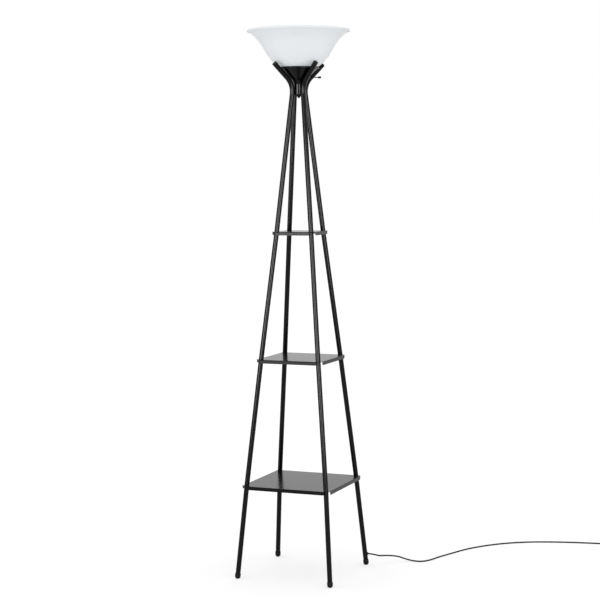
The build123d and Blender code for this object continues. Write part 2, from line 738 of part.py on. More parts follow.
def cord():
    """Free cord along its route, as straight runs joined by arcs."""
    points = cord_points()
    radii = route_radii(points)
    path = FilletPolyline(*points, radius=radii)
    tube = round_sweep(path, CORD_R)
    print("cord radii", [round(radius, 1) for radius in radii])
    print("cord length", round(path.length, 1), "volume share", tube.volume / (math.pi * CORD_R**2 * path.length))
    return tube


def coil_frame():
    """Middle of the coil and the direction in which the cord reaches it."""
    points = cord_points()
    direction = (points[-1] - points[-2]).normalized()
    sideways = Vector(-direction.Y, direction.X, 0)
    touch = points[-1] + direction * COIL_STUB_L
    return touch + sideways * coil_outer_turn(), direction


def coil_outer_turn():
    """Radius of the coil's outermost turn, at the middle of the cord."""
    return (COIL_MIDDLE_D + COIL_BUNDLE_W) / 2 - CORD_R


def plug_axis():
    """Where the coil's last turn is left, and the direction of the plug."""
    middle, direction = coil_frame()
    away = Vector(*direction).rotate(Axis.Z, PLUG_TURN)
    sideways = Vector(-away.Y, away.X, 0)
    touch = middle - sideways * coil_outer_turn()
    return Vector(touch.X, touch.Y, CORD_LIE_Z), away


def cord_coil():
    """Coil of the unseen length as one closed ring, with a stub where each end leaves it."""
    middle, direction = coil_frame()
    outside = (COIL_MIDDLE_D + COIL_BUNDLE_W) / 2
    inside = (COIL_MIDDLE_D - COIL_BUNDLE_W) / 2
    section = Pos((outside + inside) / 2, CORD_REST + COIL_BUNDLE_H / 2)
    section *= RectangleRounded(COIL_BUNDLE_W, COIL_BUNDLE_H, CORD_R)
    ring = Pos(middle.X, middle.Y, 0) * revolve(Plane.XZ * section, axis=Axis.Z)
    start = cord_points()[-1]
    ring += rod(start, start + direction * COIL_STUB_L, CORD_R)
    touch, away = plug_axis()
    return ring + rod(touch, touch + away * COIL_PLUG_STUB_L, CORD_R)


def plug_plane():
    """Frame of the plug: its middle line runs from the cord's end along +Z."""
    touch, away = plug_axis()
    return Plane(origin=touch + away * COIL_PLUG_STUB_L, x_dir=(0, 0, 1), z_dir=away)


def plug_body():
    """Moulded plug with a tapered tail, lying on the floor."""
    rise = PLUG_H / 2 - CORD_R
    tail_end = Circle(CORD_R)
    tail_root = Pos(rise, 0, PLUG_TAIL_L) * Circle(PLUG_TAIL_D / 2)
    tail = loft([tail_end, tail_root])
    align = (Align.CENTER, Align.CENTER, Align.MIN)
    body = Pos(rise, 0, PLUG_TAIL_L) * Box(PLUG_H, PLUG_W, PLUG_L, align=align)
    body = fillet(body.edges(), PLUG_EDGE_R)
    whole = plug_plane() * (tail + body)
    for blade in plug_blades():
        whole -= blade
    return whole


def plug_blades():
    """Two flat blades in the plug's face."""
    rise = PLUG_H / 2 - CORD_R
    face = PLUG_TAIL_L + PLUG_L
    align = (Align.CENTER, Align.CENTER, Align.MIN)
    blades = []
    for side in (-1, 1):
        place = Pos(rise, side * BLADE_SPACING / 2, face - BLADE_ROOT)
        blades.append(plug_plane() * place * Box(BLADE_W, BLADE_T, BLADE_ROOT + BLADE_L, align=align))
    return blades


# ---------------------------------------------------------------- nodes
def leg_nodes():
    """Tubes and foot caps of the four legs, one node each."""
    nodes = {}
    for name, corner in CORNERS.items():
        foot, bottom, middle, top, bend = leg_points(corner)
        nodes["foot_cap_" + name] = foot_cap(corner)
        nodes["foot_tube_" + name] = foot_tube(corner)
        nodes["lower_tube_" + name] = level_tube(bottom, middle, BOTTOM_Z, MIDDLE_Z - SHEET_T)
        nodes["upper_tube_" + name] = level_tube(middle, top, MIDDLE_Z, TOP_Z - SHEET_T)
        nodes["arm_tube_" + name] = arm_bar(corner, TUBE_R) - arm_bar(corner, TUBE_BORE_R)
    nodes["foot_tube_" + CORD_CORNER] -= cord_hole()
    nodes["arm_tube_" + CORD_CORNER] -= lead_hole()
    return nodes


def shelf_nodes():
    """Shelves, with the nipples and tube inserts of each as one node of four or eight solids."""
    nodes = {}
    for name in SHELVES:
        nodes[name + "_shelf"] = shelf(name)
        nodes[name + "_shelf_nipples"] = Compound([nipple(name, corner) for corner in CORNERS.values()])
        pairs = [inserts(name, corner) for corner in CORNERS.values()]
        nodes[name + "_tube_inserts"] = Compound([insert for pair in pairs for insert in pair])
    return nodes


def all_nodes():
    """Every node of the lamp by name."""
    nodes = leg_nodes()
    nodes.update(shelf_nodes())
    nodes["arm_plugs"] = Compound([arm_plug(corner) for corner in CORNERS.values()])
    makers = [
        cup, lamp_pipe, pipe_washer, pipe_nut, finial,
        holder_cap, holder_body, screw_shell, centre_contact, shade_ring,
        switch_shaft, switch_knob, shade, bulb_glass, bulb_base,
        cord_bushing, lead, cord, cord_coil, plug_body,
    ]
    for maker in makers:
        nodes[maker.__name__] = maker()
    nodes["plug_blades"] = Compound(plug_blades())
    return nodes


os.makedirs("parts", exist_ok=True)
for node_name, shape in all_nodes().items():
    export_step(shape, os.path.join("parts", node_name + ".step"))
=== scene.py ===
# %% [markdown]
# # Floor lamp with three shelves
# The rigid pieces of this lamp are modelled elsewhere as exact solids. Here they are loaded as a fixed
# frame, in metres, with the floor at Z = 0 and the lamp's centre line on the Z axis. This notebook gives
# them their finishes, adds the flexible cord with its plug, and sets up the light and the camera.

# %% Load the frame
import json
import math

import bmesh
import bpy
from mathutils import Matrix, Vector


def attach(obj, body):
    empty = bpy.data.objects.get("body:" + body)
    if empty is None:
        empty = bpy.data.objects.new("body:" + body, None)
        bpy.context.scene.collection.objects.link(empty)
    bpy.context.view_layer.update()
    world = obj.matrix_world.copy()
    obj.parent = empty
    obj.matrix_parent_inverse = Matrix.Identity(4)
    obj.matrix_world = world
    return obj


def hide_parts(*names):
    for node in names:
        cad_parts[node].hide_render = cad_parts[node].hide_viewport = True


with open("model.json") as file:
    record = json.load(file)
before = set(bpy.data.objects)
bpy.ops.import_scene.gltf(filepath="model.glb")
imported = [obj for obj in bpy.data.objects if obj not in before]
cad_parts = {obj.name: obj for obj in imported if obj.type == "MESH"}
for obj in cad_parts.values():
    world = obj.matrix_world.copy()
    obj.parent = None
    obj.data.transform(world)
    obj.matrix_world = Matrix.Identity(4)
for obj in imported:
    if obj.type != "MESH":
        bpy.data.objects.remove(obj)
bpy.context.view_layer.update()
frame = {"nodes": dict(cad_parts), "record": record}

nodes = frame["nodes"]
scene = bpy.context.scene
scene.view_settings.view_transform = "Standard"

# %% [markdown]
# ## Camera
# A product photograph is taken from far away with a long lens, so the legs hardly converge. The camera's
# direction and place below were worked out from the corners of the shelves and the feet. The rotation could
# be given as three Euler angles. It is built from three axes instead, because then each axis can be read:
# right, up, and backwards, which is where a Blender camera's own +Z points.

# %% Camera
CAMERA_YAW = math.radians(22.349)
CAMERA_PITCH = math.radians(4.641)
CAMERA_ROLL = math.radians(-0.4946)
CAMERA_DISTANCE = 5.225
CAMERA_HEIGHT = 1.3124
CAMERA_SIDESTEP = -0.00207
CAMERA_REACH = 100
FOCAL_PIXELS = 1628.8
PICTURE_PIXELS = 600
SENSOR_WIDTH = 36.0


def photo_camera():
    """Camera at the photograph's viewing angle."""
    forward = Vector((
        -math.sin(CAMERA_YAW) * math.cos(CAMERA_PITCH),
        math.cos(CAMERA_YAW) * math.cos(CAMERA_PITCH),
        -math.sin(CAMERA_PITCH),
    ))
    level_right = Vector((math.cos(CAMERA_YAW), math.sin(CAMERA_YAW), 0))
    level_up = level_right.cross(forward)
    right = level_right * math.cos(CAMERA_ROLL) + level_up * math.sin(CAMERA_ROLL)
    up = level_up * math.cos(CAMERA_ROLL) - level_right * math.sin(CAMERA_ROLL)
    place = Vector((
        math.sin(CAMERA_YAW) * CAMERA_DISTANCE,
        -math.cos(CAMERA_YAW) * CAMERA_DISTANCE,
        CAMERA_HEIGHT,
    )) + level_right * CAMERA_SIDESTEP
    data = bpy.data.cameras.new("photo_camera")
    data.sensor_width = SENSOR_WIDTH
    data.lens = FOCAL_PIXELS / PICTURE_PIXELS * SENSOR_WIDTH
    data.clip_end = CAMERA_REACH
    camera = bpy.data.objects.new("photo_camera", data)
    axes = Matrix((right, up, -forward)).transposed()
    camera.matrix_world = Matrix.Translation(place) @ axes.to_4x4()
    scene.collection.objects.link(camera)
    scene.camera = camera
    print("lens", round(data.lens, 1), "mm at", [round(x, 3) for x in place])


photo_camera()

# %% [markdown]
# ## The cord's way over the floor
# The cord is a smooth black round lead, 5 mm thick. It leaves a bushing low on the back right leg, drops to
# the floor in a shallow curve and runs off to the right. This loose part follows no rule, so its points are
# a short list, given one by one.

# %% Cord's way
CORD_DIAMETER = 0.005
CORD_EXIT = Vector((0.169493, 0.155281, 0.038))
CORD_LIE = 0.00255  # height of the cord's axis where it lies on the floor
CORD_FIRST_RUN = 0.016
# from the bushing's face in plan, and how far the cord stands above the floor
CORD_ROUTE = [
    (0.0373, 0.0089, 0.02885),
    (0.0503, 0.0379, 0.02545),
    (0.0753, 0.0839, 0.01445),
    (0.0983, 0.0914, 0.00545),
    (0.1283, 0.0899, 0.00085),
    (0.1583, 0.0969, 0.0),
    (0.1773, 0.1309, 0.0),
    (0.1883, 0.1769, 0.0),
    (0.2143, 0.2409, 0.0),
    (0.2383, 0.3069, 0.0),
    (0.2723, 0.3649, 0.0),
    (0.3143, 0.4179, 0.0),
    (0.3663, 0.4639, 0.0),
    (0.4263, 0.4989, 0.0),
    (0.4923, 0.5229, 0.0),
    (0.5603, 0.5409, 0.0),
    (0.6293, 0.5529, 0.0),
    (0.6943, 0.5609, 0.0),
]
print("loose part has", len(CORD_ROUTE), "points")

# %% [markdown]
# ## The cord's coil
# The length that isn't laid out is wound into a small coil of four turns: out and in on the floor, then in
# and out on top. A coil follows a rule, so a loop works its points out. `turn` counts the turns. The radius
# and the height change between them over part of a turn, each where it meets no other turn.

# %% Coil's turns
COIL_STUB = 0.020  # from the loose part's last point to the first turn
COIL_OUTER_TURN = 0.0316
COIL_INNER_TURN = 0.0263
COIL_LAYER = 0.0053
COIL_TURNS = 4
COIL_POINTS_PER_TURN = 16
COIL_LIFT_AT_TIE = 0.0009
# the count of turns at the start and at the end of each step
COIL_STEP_IN = (0.82, 1.0)
COIL_STEP_UP = (1.70, 1.90)
COIL_STEP_OUT = (3.0, 3.17)


def eased(value, start, end):
    """0 before start, 1 after end, and a smooth step between them."""
    part = min(max((value - start) / (end - start), 0), 1)
    return part * part * (3 - 2 * part)


def coil_place(turn, centre, first_angle):
    """Control point of the coil after that many turns."""
    inwards = eased(turn, *COIL_STEP_IN) - eased(turn, *COIL_STEP_OUT)
    radius = COIL_OUTER_TURN + (COIL_INNER_TURN - COIL_OUTER_TURN) * inwards
    # the curve touches the sides between its control points, so they stand a little outside the turn
    radius /= math.cos(math.pi / COIL_POINTS_PER_TURN)
    angle = first_angle + 2 * math.pi * turn
    lift = COIL_LIFT_AT_TIE * (0.5 - 0.5 * math.cos(2 * math.pi * turn))
    height = CORD_LIE + COIL_LAYER * eased(turn, *COIL_STEP_UP) + lift
    return centre + Vector((math.cos(angle), math.sin(angle), 0)) * radius + Vector((0, 0, height))


print("coil has", COIL_TURNS, "turns, with", COIL_POINTS_PER_TURN, "points in each")

# %% [markdown]
# ## The whole line of the cord
# The bushing, the loose part, the coil and the short run into the plug are joined into one list of points,
# because one line has no joints that could show a kink.

# %% Cord's whole line
PLUG_STUB = 0.032  # from the coil to the plug's tail
PLUG_LEVEL_RUN = 0.005  # last level stretch before the tail
PLUG_ENTRY = 0.0034  # height at which the cord goes into the plug's tail
# how far past the coil, and how far below the coil's top layer
CORD_COMES_DOWN = [(0.008, 0.0), (0.014, 0.0012), (0.021, 0.0035)]


def cord_line():
    """Control points of the cord, the coil's centre, and the cord's direction and place at the coil."""
    points = [CORD_EXIT, CORD_EXIT + Vector((CORD_FIRST_RUN, 0, 0))]
    for ahead, across, lift in CORD_ROUTE:
        points.append(Vector((CORD_EXIT.x + ahead, CORD_EXIT.y + across, CORD_LIE + lift)))
    direction = (points[-1] - points[-2]).normalized()
    touch = points[-1] + direction * COIL_STUB
    sideways = Vector((-direction.y, direction.x, 0))
    centre = Vector((touch.x, touch.y, 0)) + sideways * COIL_OUTER_TURN
    first_angle = math.atan2(-sideways.y, -sideways.x)
    for step in range(COIL_TURNS * COIL_POINTS_PER_TURN + 1):
        points.append(coil_place(step / COIL_POINTS_PER_TURN, centre, first_angle))
    top = CORD_LIE + COIL_LAYER
    for along, drop in CORD_COMES_DOWN:
        points.append(Vector((touch.x, touch.y, top - drop)) + direction * along)
    for along in (PLUG_STUB - PLUG_LEVEL_RUN, PLUG_STUB):
        points.append(Vector((touch.x, touch.y, PLUG_ENTRY)) + direction * along)
    return points, centre, direction, touch


cord_points, coil_centre, cord_direction, coil_touch = cord_line()
print("cord has", len(cord_points), "control points")

# %% [markdown]
# ## The cord itself
# A mesh could be swept along the line, but a curve object suits a cord better: the points are the control
# points of one NURBS line, and the bevel turns the line into a tube. The spline's order and its end rule are
# set after the points exist, because Blender resets them while points are added. A point's radius multiplies
# the bevel's depth and also counts in the curve's bounding box, so the radius is the cord's own and the
# depth is 1.

# %% Cord's curve
CORD_ROUNDNESS = 4
CORD_SMOOTHNESS = 5


def cord_curve(points):
    """Round tube on one smooth line."""
    data = bpy.data.curves.new("supply_cord", "CURVE")
    data.dimensions = "3D"
    data.bevel_depth = 1
    data.bevel_resolution = CORD_ROUNDNESS
    data.resolution_u = CORD_SMOOTHNESS
    data.use_fill_caps = True
    spline = data.splines.new("NURBS")
    spline.points.add(len(points) - 1)
    for target, point in zip(spline.points, points):
        target.co = (*point, 1)
        target.radius = CORD_DIAMETER / 2
    spline.order_u = 3
    spline.use_endpoint_u = True
    cord = bpy.data.objects.new("supply_cord", data)
    scene.collection.objects.link(cord)
    return cord


supply_cord = cord_curve(cord_points)
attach(supply_cord, "frame")
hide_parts("cord", "cord_coil")
print("curve has", len(supply_cord.data.splines), "spline")

# %% [markdown]
# ## Tie round the coil
# A put-away coil is held by a short strap. It could be a bent curve, but a sleeve fits a bundle of turns
# better. Its cross-section is a rounded rectangle that hugs the four turns, so a cube is scaled to the
# bundle, its four long edges are bevelled, its two ends are deleted, and what is left, a flat sleeve, is
# given its thickness outwards.

# %% Tie
TIE_WIDTH = 0.009
TIE_THICKNESS = 0.0005
TIE_CORNER = CORD_DIAMETER * 0.45
CORNER_SEGMENTS = 5
NEARLY_ALONG_X = 0.9  # share of a normal


def new_piece(mesh_in_work, name, sharp_degrees=40):
    """Object with that mesh, smooth apart from its sharp edges, at the origin."""
    bmesh.ops.recalc_face_normals(mesh_in_work, faces=mesh_in_work.faces)
    mesh = bpy.data.meshes.new(name)
    mesh_in_work.to_mesh(mesh)
    mesh_in_work.free()
    mesh.shade_smooth()
    mesh.set_sharp_from_angle(angle=math.radians(sharp_degrees))
    piece = bpy.data.objects.new(name, mesh)
    scene.collection.objects.link(piece)
    return piece


def along_cord(place):
    """Matrix that moves a piece built along +X to that place and turns it into the cord's last direction."""
    sideways = Vector((-cord_direction.y, cord_direction.x, 0))
    axes = Matrix((cord_direction, sideways, Vector((0, 0, 1)))).transposed().to_4x4()
    return Matrix.Translation(place) @ axes


def coil_tie():
    """Strap round the coil's bundle, opposite the place where the cord reaches it."""
    sideways = Vector((-cord_direction.y, cord_direction.x, 0))
    middle = coil_centre + sideways * ((COIL_OUTER_TURN + COIL_INNER_TURN) / 2)
    middle.z = CORD_LIE + COIL_LAYER / 2 + COIL_LIFT_AT_TIE
    width = CORD_DIAMETER + (COIL_OUTER_TURN - COIL_INNER_TURN)
    height = CORD_DIAMETER + COIL_LAYER
    work = bmesh.new()
    bmesh.ops.create_cube(work, size=1)
    bmesh.ops.scale(work, vec=(TIE_WIDTH, width, height), verts=work.verts)
    long_edges = [e for e in work.edges if abs((e.verts[0].co - e.verts[1].co).x) > TIE_WIDTH / 2]
    bmesh.ops.bevel(work, geom=long_edges, offset=TIE_CORNER, offset_type="OFFSET",
                    segments=CORNER_SEGMENTS, profile=0.5, affect="EDGES", material=-1)
    ends = [f for f in work.faces if abs(f.normal.x) > NEARLY_ALONG_X]
    bmesh.ops.delete(work, geom=ends, context="FACES_ONLY")
    bmesh.ops.recalc_face_normals(work, faces=work.faces)
    bmesh.ops.solidify(work, geom=work.faces[:], thickness=-TIE_THICKNESS)
    bmesh.ops.transform(work, matrix=along_cord(middle), verts=work.verts)
    return new_piece(work, "coil_tie")


coil_strap = coil_tie()
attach(coil_strap, "frame")
print("tie lowest point", round(min(v.co.z for v in coil_strap.data.vertices) * 1000, 2), "mm")

# %% [markdown]
# ## Plug's body
# The plug is one moulding: a flat body with finger grooves, and a tail of rings that bends with the cord.
# The body could be cut from a block with booleans. A bevelled cube that planes cut across is simpler: each
# groove is three cuts, and the middle one is pulled in a little. The plug is built along +X with its cord
# end at the origin, and then put in place once.

# %% Plug's body
PLUG_LENGTH = 0.027
PLUG_WIDTH = 0.023
PLUG_HEIGHT = 0.013
PLUG_CORNER = 0.0034
PLUG_TAIL = 0.020
PLUG_OFF_FLOOR = 0.00005
PLUG_RISE = PLUG_HEIGHT / 2 - PLUG_ENTRY + PLUG_OFF_FLOOR  # from the cord's axis to the body's
PLUG_BACK_NARROWING = (1, 0.72, 0.86)  # the body's cord end against its front
GROOVE_COUNT = 4
GROOVE_FIRST = -PLUG_LENGTH * 0.30
GROOVE_PITCH = PLUG_LENGTH * 0.13
GROOVE_HALF = 0.0006  # of a groove's width
GROOVE_NARROWING = (1, 0.955, 0.93)
SAME_PLACE = 0.0001  # a vertex this close to a cut lies on it


def plug_body_mesh(work):
    """Flat rounded body with finger grooves across it."""
    made = bmesh.ops.create_cube(work, size=1)["verts"]
    bmesh.ops.scale(work, vec=(PLUG_LENGTH, PLUG_WIDTH, PLUG_HEIGHT), verts=made)
    back = [v for v in made if v.co.x < 0]
    bmesh.ops.scale(work, vec=PLUG_BACK_NARROWING, verts=back)
    bmesh.ops.bevel(work, geom=work.edges[:], offset=PLUG_CORNER, offset_type="OFFSET",
                    segments=CORNER_SEGMENTS, profile=0.5, affect="EDGES", material=-1)
    for groove in range(GROOVE_COUNT):
        middle = GROOVE_FIRST + GROOVE_PITCH * groove
        for offset in (-GROOVE_HALF, 0.0, GROOVE_HALF):
            bmesh.ops.bisect_plane(work, geom=work.verts[:] + work.edges[:] + work.faces[:],
                                   plane_co=(middle + offset, 0, 0), plane_no=(1, 0, 0))
        at_groove = [v for v in work.verts if abs(v.co.x - middle) < SAME_PLACE]
        bmesh.ops.scale(work, vec=GROOVE_NARROWING, verts=at_groove)
    bmesh.ops.translate(work, vec=(PLUG_TAIL + PLUG_LENGTH / 2, 0, PLUG_RISE), verts=work.verts)
    print("plug body has", len(work.faces), "faces")


# %% [markdown]
# ## Plug's tail
# The tail is a row of soft rings, thin at the cord and thick at the body, so that the cord can't be bent
# sharply where it goes in. It is a turned shape, so a profile of a few points is spun about the plug's axis.
# The tail then rises from the cord's height to the body's.

# %% Plug's tail
TAIL_ROOT = 0.0042  # radius at the body
TAIL_WALL = 0.0006  # of the thinnest ring, over the cord
TAIL_PLAY = 0.0001  # between the cord and the tail's end
TAIL_RINGS = 5
TAIL_SIDES = 32
TAIL_SUNK = 0.002  # how far the tail goes into the body
RING_SPAN = (0.12, 0.70)  # shares of the rings' pitch
GAP_SPAN = (0.82, 0.98)
GAP_DEPTH = 0.0005


def plug_tail_mesh(work):
    """Tail of soft rings, thin at the cord and thick at the body."""
    cord_radius = CORD_DIAMETER / 2
    smallest = cord_radius + TAIL_WALL
    pitch = PLUG_TAIL / TAIL_RINGS
    profile = [work.verts.new((0, 0, cord_radius + TAIL_PLAY))]
    for ring in range(TAIL_RINGS):
        outside = smallest + (TAIL_ROOT - smallest) * (ring + 1) / TAIL_RINGS
        for radius, span in ((outside, RING_SPAN), (outside - GAP_DEPTH, GAP_SPAN)):
            for share in span:
                profile.append(work.verts.new(((ring + share) * pitch, 0, radius)))
    profile.append(work.verts.new((PLUG_TAIL + TAIL_SUNK, 0, TAIL_ROOT)))
    edges = [work.edges.new(pair) for pair in zip(profile, profile[1:])]
    bmesh.ops.spin(work, geom=profile + edges, cent=(0, 0, 0), axis=(1, 0, 0), angle=2 * math.pi,
                   steps=TAIL_SIDES, use_merge=True)
    for vert in work.verts:
        vert.co.z += PLUG_RISE * min(vert.co.x / PLUG_TAIL, 1)
    print("plug tail has", len(work.faces), "faces")


# %% [markdown]
# ## The whole plug
# Body and tail are one moulding, so they become one piece. It lies on the floor at the cord's end.

# %% Whole plug
PLUG_SHARP_DEGREES = 32


def plug_piece():
    """The whole moulded plug, lying on the floor at the cord's end."""
    tail = bmesh.new()
    plug_tail_mesh(tail)
    tail_mesh = bpy.data.meshes.new("tail_in_work")
    tail.to_mesh(tail_mesh)
    tail.free()
    work = bmesh.new()
    plug_body_mesh(work)
    work.from_mesh(tail_mesh)
    bpy.data.meshes.remove(tail_mesh)
    start = Vector((coil_touch.x, coil_touch.y, PLUG_ENTRY)) + cord_direction * PLUG_STUB
    bmesh.ops.transform(work, matrix=along_cord(start), verts=work.verts)
    return new_piece(work, "mains_plug", PLUG_SHARP_DEGREES)


mains_plug = plug_piece()
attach(mains_plug, "frame")
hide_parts("plug_body")
print("plug faces", len(mains_plug.data.polygons))

# %% [markdown]
# ## How a finish starts
# Every finish starts from the Principled shader, which stands for paint, plastic, glass and metal alike.
# Its constant values are set on the sockets. A finish could be an image, but numbers and noise need no file
# and stay sharp at any distance.

# %% Start of a finish
finishes = {}


def finish(name, colour, roughness, metallic=0.0, specular=0.5):
    """Material with one Principled shader and constant values."""
    material = bpy.data.materials.new(name)
    material.use_nodes = True
    shader = material.node_tree.nodes["Principled BSDF"]
    shader.inputs["Base Color"].default_value = (*colour, 1)
    shader.inputs["Roughness"].default_value = roughness
    shader.inputs["Metallic"].default_value = metallic
    shader.inputs["Specular IOR Level"].default_value = specular
    print("finish", name)
    return material, shader


# %% [markdown]
# ## How a finish varies
# No real surface has one even value. One helper places a noise pattern by the object's own coordinates, in
# metres, two let that noise move a number or a colour between two limits, and one feeds a noise to the
# surface as a fine relief. Object coordinates don't slide when a piece moves, and their scale is real: a
# noise of scale 1000 has grains of about a millimetre. Nearly all of a noise's values lie between 0.3 and
# 0.7, so that stretch is what is spread over the limits.

# %% Patterns
NOISE_LOW = 0.3
NOISE_HIGH = 0.7


def noise(material, scale, detail, stretch=(1, 1, 1)):
    """Noise pattern in object coordinates."""
    tree = material.node_tree
    place = tree.nodes.new("ShaderNodeTexCoord")
    mapping = tree.nodes.new("ShaderNodeMapping")
    mapping.inputs["Scale"].default_value = stretch
    pattern = tree.nodes.new("ShaderNodeTexNoise")
    pattern.inputs["Scale"].default_value = scale
    pattern.inputs["Detail"].default_value = detail
    tree.links.new(place.outputs["Object"], mapping.inputs["Vector"])
    tree.links.new(mapping.outputs["Vector"], pattern.inputs["Vector"])
    return pattern.outputs["Fac"]


def vary_value(material, pattern, socket, low, high):
    """Lets a pattern move a number between two limits."""
    tree = material.node_tree
    spread = tree.nodes.new("ShaderNodeMapRange")
    spread.inputs["From Min"].default_value = NOISE_LOW
    spread.inputs["From Max"].default_value = NOISE_HIGH
    spread.inputs["To Min"].default_value = low
    spread.inputs["To Max"].default_value = high
    tree.links.new(pattern, spread.inputs["Value"])
    tree.links.new(spread.outputs["Result"], socket)


def vary_colour(material, pattern, socket, dark, light):
    """Lets a pattern move a colour between two colours."""
    tree = material.node_tree
    ramp = tree.nodes.new("ShaderNodeValToRGB")
    ramp.color_ramp.elements[0].position = NOISE_LOW
    ramp.color_ramp.elements[0].color = (*dark, 1)
    ramp.color_ramp.elements[1].position = NOISE_HIGH
    ramp.color_ramp.elements[1].color = (*light, 1)
    tree.links.new(pattern, ramp.inputs["Fac"])
    tree.links.new(ramp.outputs["Color"], socket)


def relief(material, shader, pattern, depth):
    """Lets a pattern raise the surface by up to that many metres."""
    tree = material.node_tree
    bump = tree.nodes.new("ShaderNodeBump")
    bump.inputs["Strength"].default_value = 1.0
    bump.inputs["Distance"].default_value = depth
    tree.links.new(pattern, bump.inputs["Height"])
    tree.links.new(bump.outputs["Normal"], shader.inputs["Normal"])


# %% [markdown]
# ## Black powder coat
# Legs and shelves carry a satin black powder coat: very dark, slightly uneven, with the fine orange peel
# that powder leaves when it flows in the oven. All the lamp's blacks are near black, so what tells them
# apart is how sharp and how strong their highlights are. The orange peel is only about a micrometre deep
# here, because a deeper one would break up the long lines along the tubes.

# %% Black powder coat
def powder_coat():
    """Satin black powder coat with a fine orange peel."""
    material, shader = finish("black_powder_coat", colour=(0.002, 0.002, 0.0021), roughness=0.2,
                              specular=0.13)
    vary_colour(material, noise(material, scale=260, detail=4), shader.inputs["Base Color"],
                dark=(0.0013, 0.0013, 0.0014), light=(0.0027, 0.0027, 0.0029))
    vary_value(material, noise(material, scale=90, detail=5), shader.inputs["Roughness"],
               low=0.17, high=0.22)
    relief(material, shader, noise(material, scale=450, detail=2), depth=0.0000012)
    return material


finishes["black_powder_coat"] = powder_coat()

# %% [markdown]
# ## Black enamel
# The funnel and its finial are enamelled: as black as the legs, but glossier. The recipe could be shared
# with the powder coat, but nearly every number differs, so a function of its own is easier to read. It has
# less roughness, and its colour changes more slowly over the surface.

# %% Black enamel
def enamel():
    """Glossy black enamel of the funnel and its finial."""
    material, shader = finish("black_enamel", colour=(0.002, 0.002, 0.0022), roughness=0.15,
                              specular=0.13)
    vary_colour(material, noise(material, scale=60, detail=3), shader.inputs["Base Color"],
                dark=(0.0013, 0.0013, 0.0015), light=(0.0027, 0.0027, 0.003))
    vary_value(material, noise(material, scale=120, detail=4), shader.inputs["Roughness"],
               low=0.13, high=0.18)
    relief(material, shader, noise(material, scale=500, detail=2), depth=0.000003)
    return material


finishes["black_enamel"] = enamel()

# %% [markdown]
# ## Black plastics
# Foot caps, tip plugs, the knob and the mains plug are moulded plastic, and the cord has a soft plastic
# sheath. They differ only in how dark, how dull and how grained they are, so one recipe with four numbers
# makes them all.

# %% Black plastics
PLASTIC_DARKER = 0.85
PLASTIC_LIGHTER = 1.2


def black_plastic(name, blackness, roughness, grain, depth):
    """Moulded black plastic or a cord's sheath, with a grain of that scale and depth."""
    dark = (blackness * PLASTIC_DARKER,) * 3
    light = (blackness * PLASTIC_LIGHTER,) * 3
    material, shader = finish(name, light, roughness, specular=0.11)
    vary_colour(material, noise(material, scale=300, detail=3), shader.inputs["Base Color"], dark, light)
    vary_value(material, noise(material, scale=150, detail=3), shader.inputs["Roughness"],
               low=roughness - 0.05, high=roughness + 0.06)
    relief(material, shader, noise(material, scale=grain, detail=3), depth)
    return material


for name, blackness, roughness, grain, depth in (
    ("foot_plastic", 0.004, 0.42, 1500, 0.00002),
    ("black_plastic", 0.004, 0.3, 1200, 0.00001),
    ("black_plug_plastic", 0.007, 0.45, 1600, 0.00003),
    ("black_cord", 0.003, 0.4, 900, 0.00002),
):
    finishes[name] = black_plastic(name, blackness, roughness, grain, depth)

# %% [markdown]
# ## White shade
# The bowl is a white moulding, cool white when unlit, with a smooth satin face. A little light passes into
# the material and comes out again nearby, which is what subsurface scattering does. A plain white paint
# would be quicker, but the scattering keeps the shaded side from going grey.

# %% White shade
EQUAL_DEPTHS = (1.0, 1.0, 1.0)  # red, green and blue light go equally deep


def white_shade():
    """Satin white moulded bowl."""
    material, shader = finish("white_shade", colour=(0.81, 0.835, 0.858), roughness=0.4, specular=0.25)
    shader.inputs["Subsurface Weight"].default_value = 0.25
    shader.inputs["Subsurface Radius"].default_value = EQUAL_DEPTHS
    shader.inputs["Subsurface Scale"].default_value = 0.006
    vary_colour(material, noise(material, scale=18, detail=2), shader.inputs["Base Color"],
                dark=(0.803, 0.828, 0.851), light=(0.817, 0.842, 0.865))
    vary_value(material, noise(material, scale=60, detail=3), shader.inputs["Roughness"],
               low=0.38, high=0.46)
    relief(material, shader, noise(material, scale=350, detail=2), depth=0.00001)
    return material


finishes["white_shade"] = white_shade()

# %% [markdown]
# ## Opal glass of the bulb
# The bulb's glass looks milky all through and has a glossy face. Clear glass with a white powder inside
# would be closer to how it is made, but at this size scattering under a glossy face looks the same.

# %% Opal glass
def opal_glass():
    """Glossy opal glass of the bulb."""
    material, shader = finish("opal_glass", colour=(0.88, 0.88, 0.86), roughness=0.1, specular=0.5)
    shader.inputs["Subsurface Weight"].default_value = 0.3
    shader.inputs["Subsurface Radius"].default_value = EQUAL_DEPTHS
    shader.inputs["Subsurface Scale"].default_value = 0.004
    vary_colour(material, noise(material, scale=40, detail=2), shader.inputs["Base Color"],
                dark=(0.87, 0.87, 0.85), light=(0.89, 0.89, 0.872))
    vary_value(material, noise(material, scale=80, detail=2), shader.inputs["Roughness"],
               low=0.07, high=0.13)
    return material


finishes["opal_glass"] = opal_glass()

# %% [markdown]
# ## Plain metals
# Zinc plating, blackened steel, brass and drawn aluminium differ in colour, in how dull they are and in how
# close their marks are. The marks of turning run round a piece. They could be cut as grooves, but they are
# far too fine for that, so the noise is squeezed along Z, the axis of nearly all these pieces.

# %% Plain metals
METAL_ROUGHNESS_SPREAD = 0.08


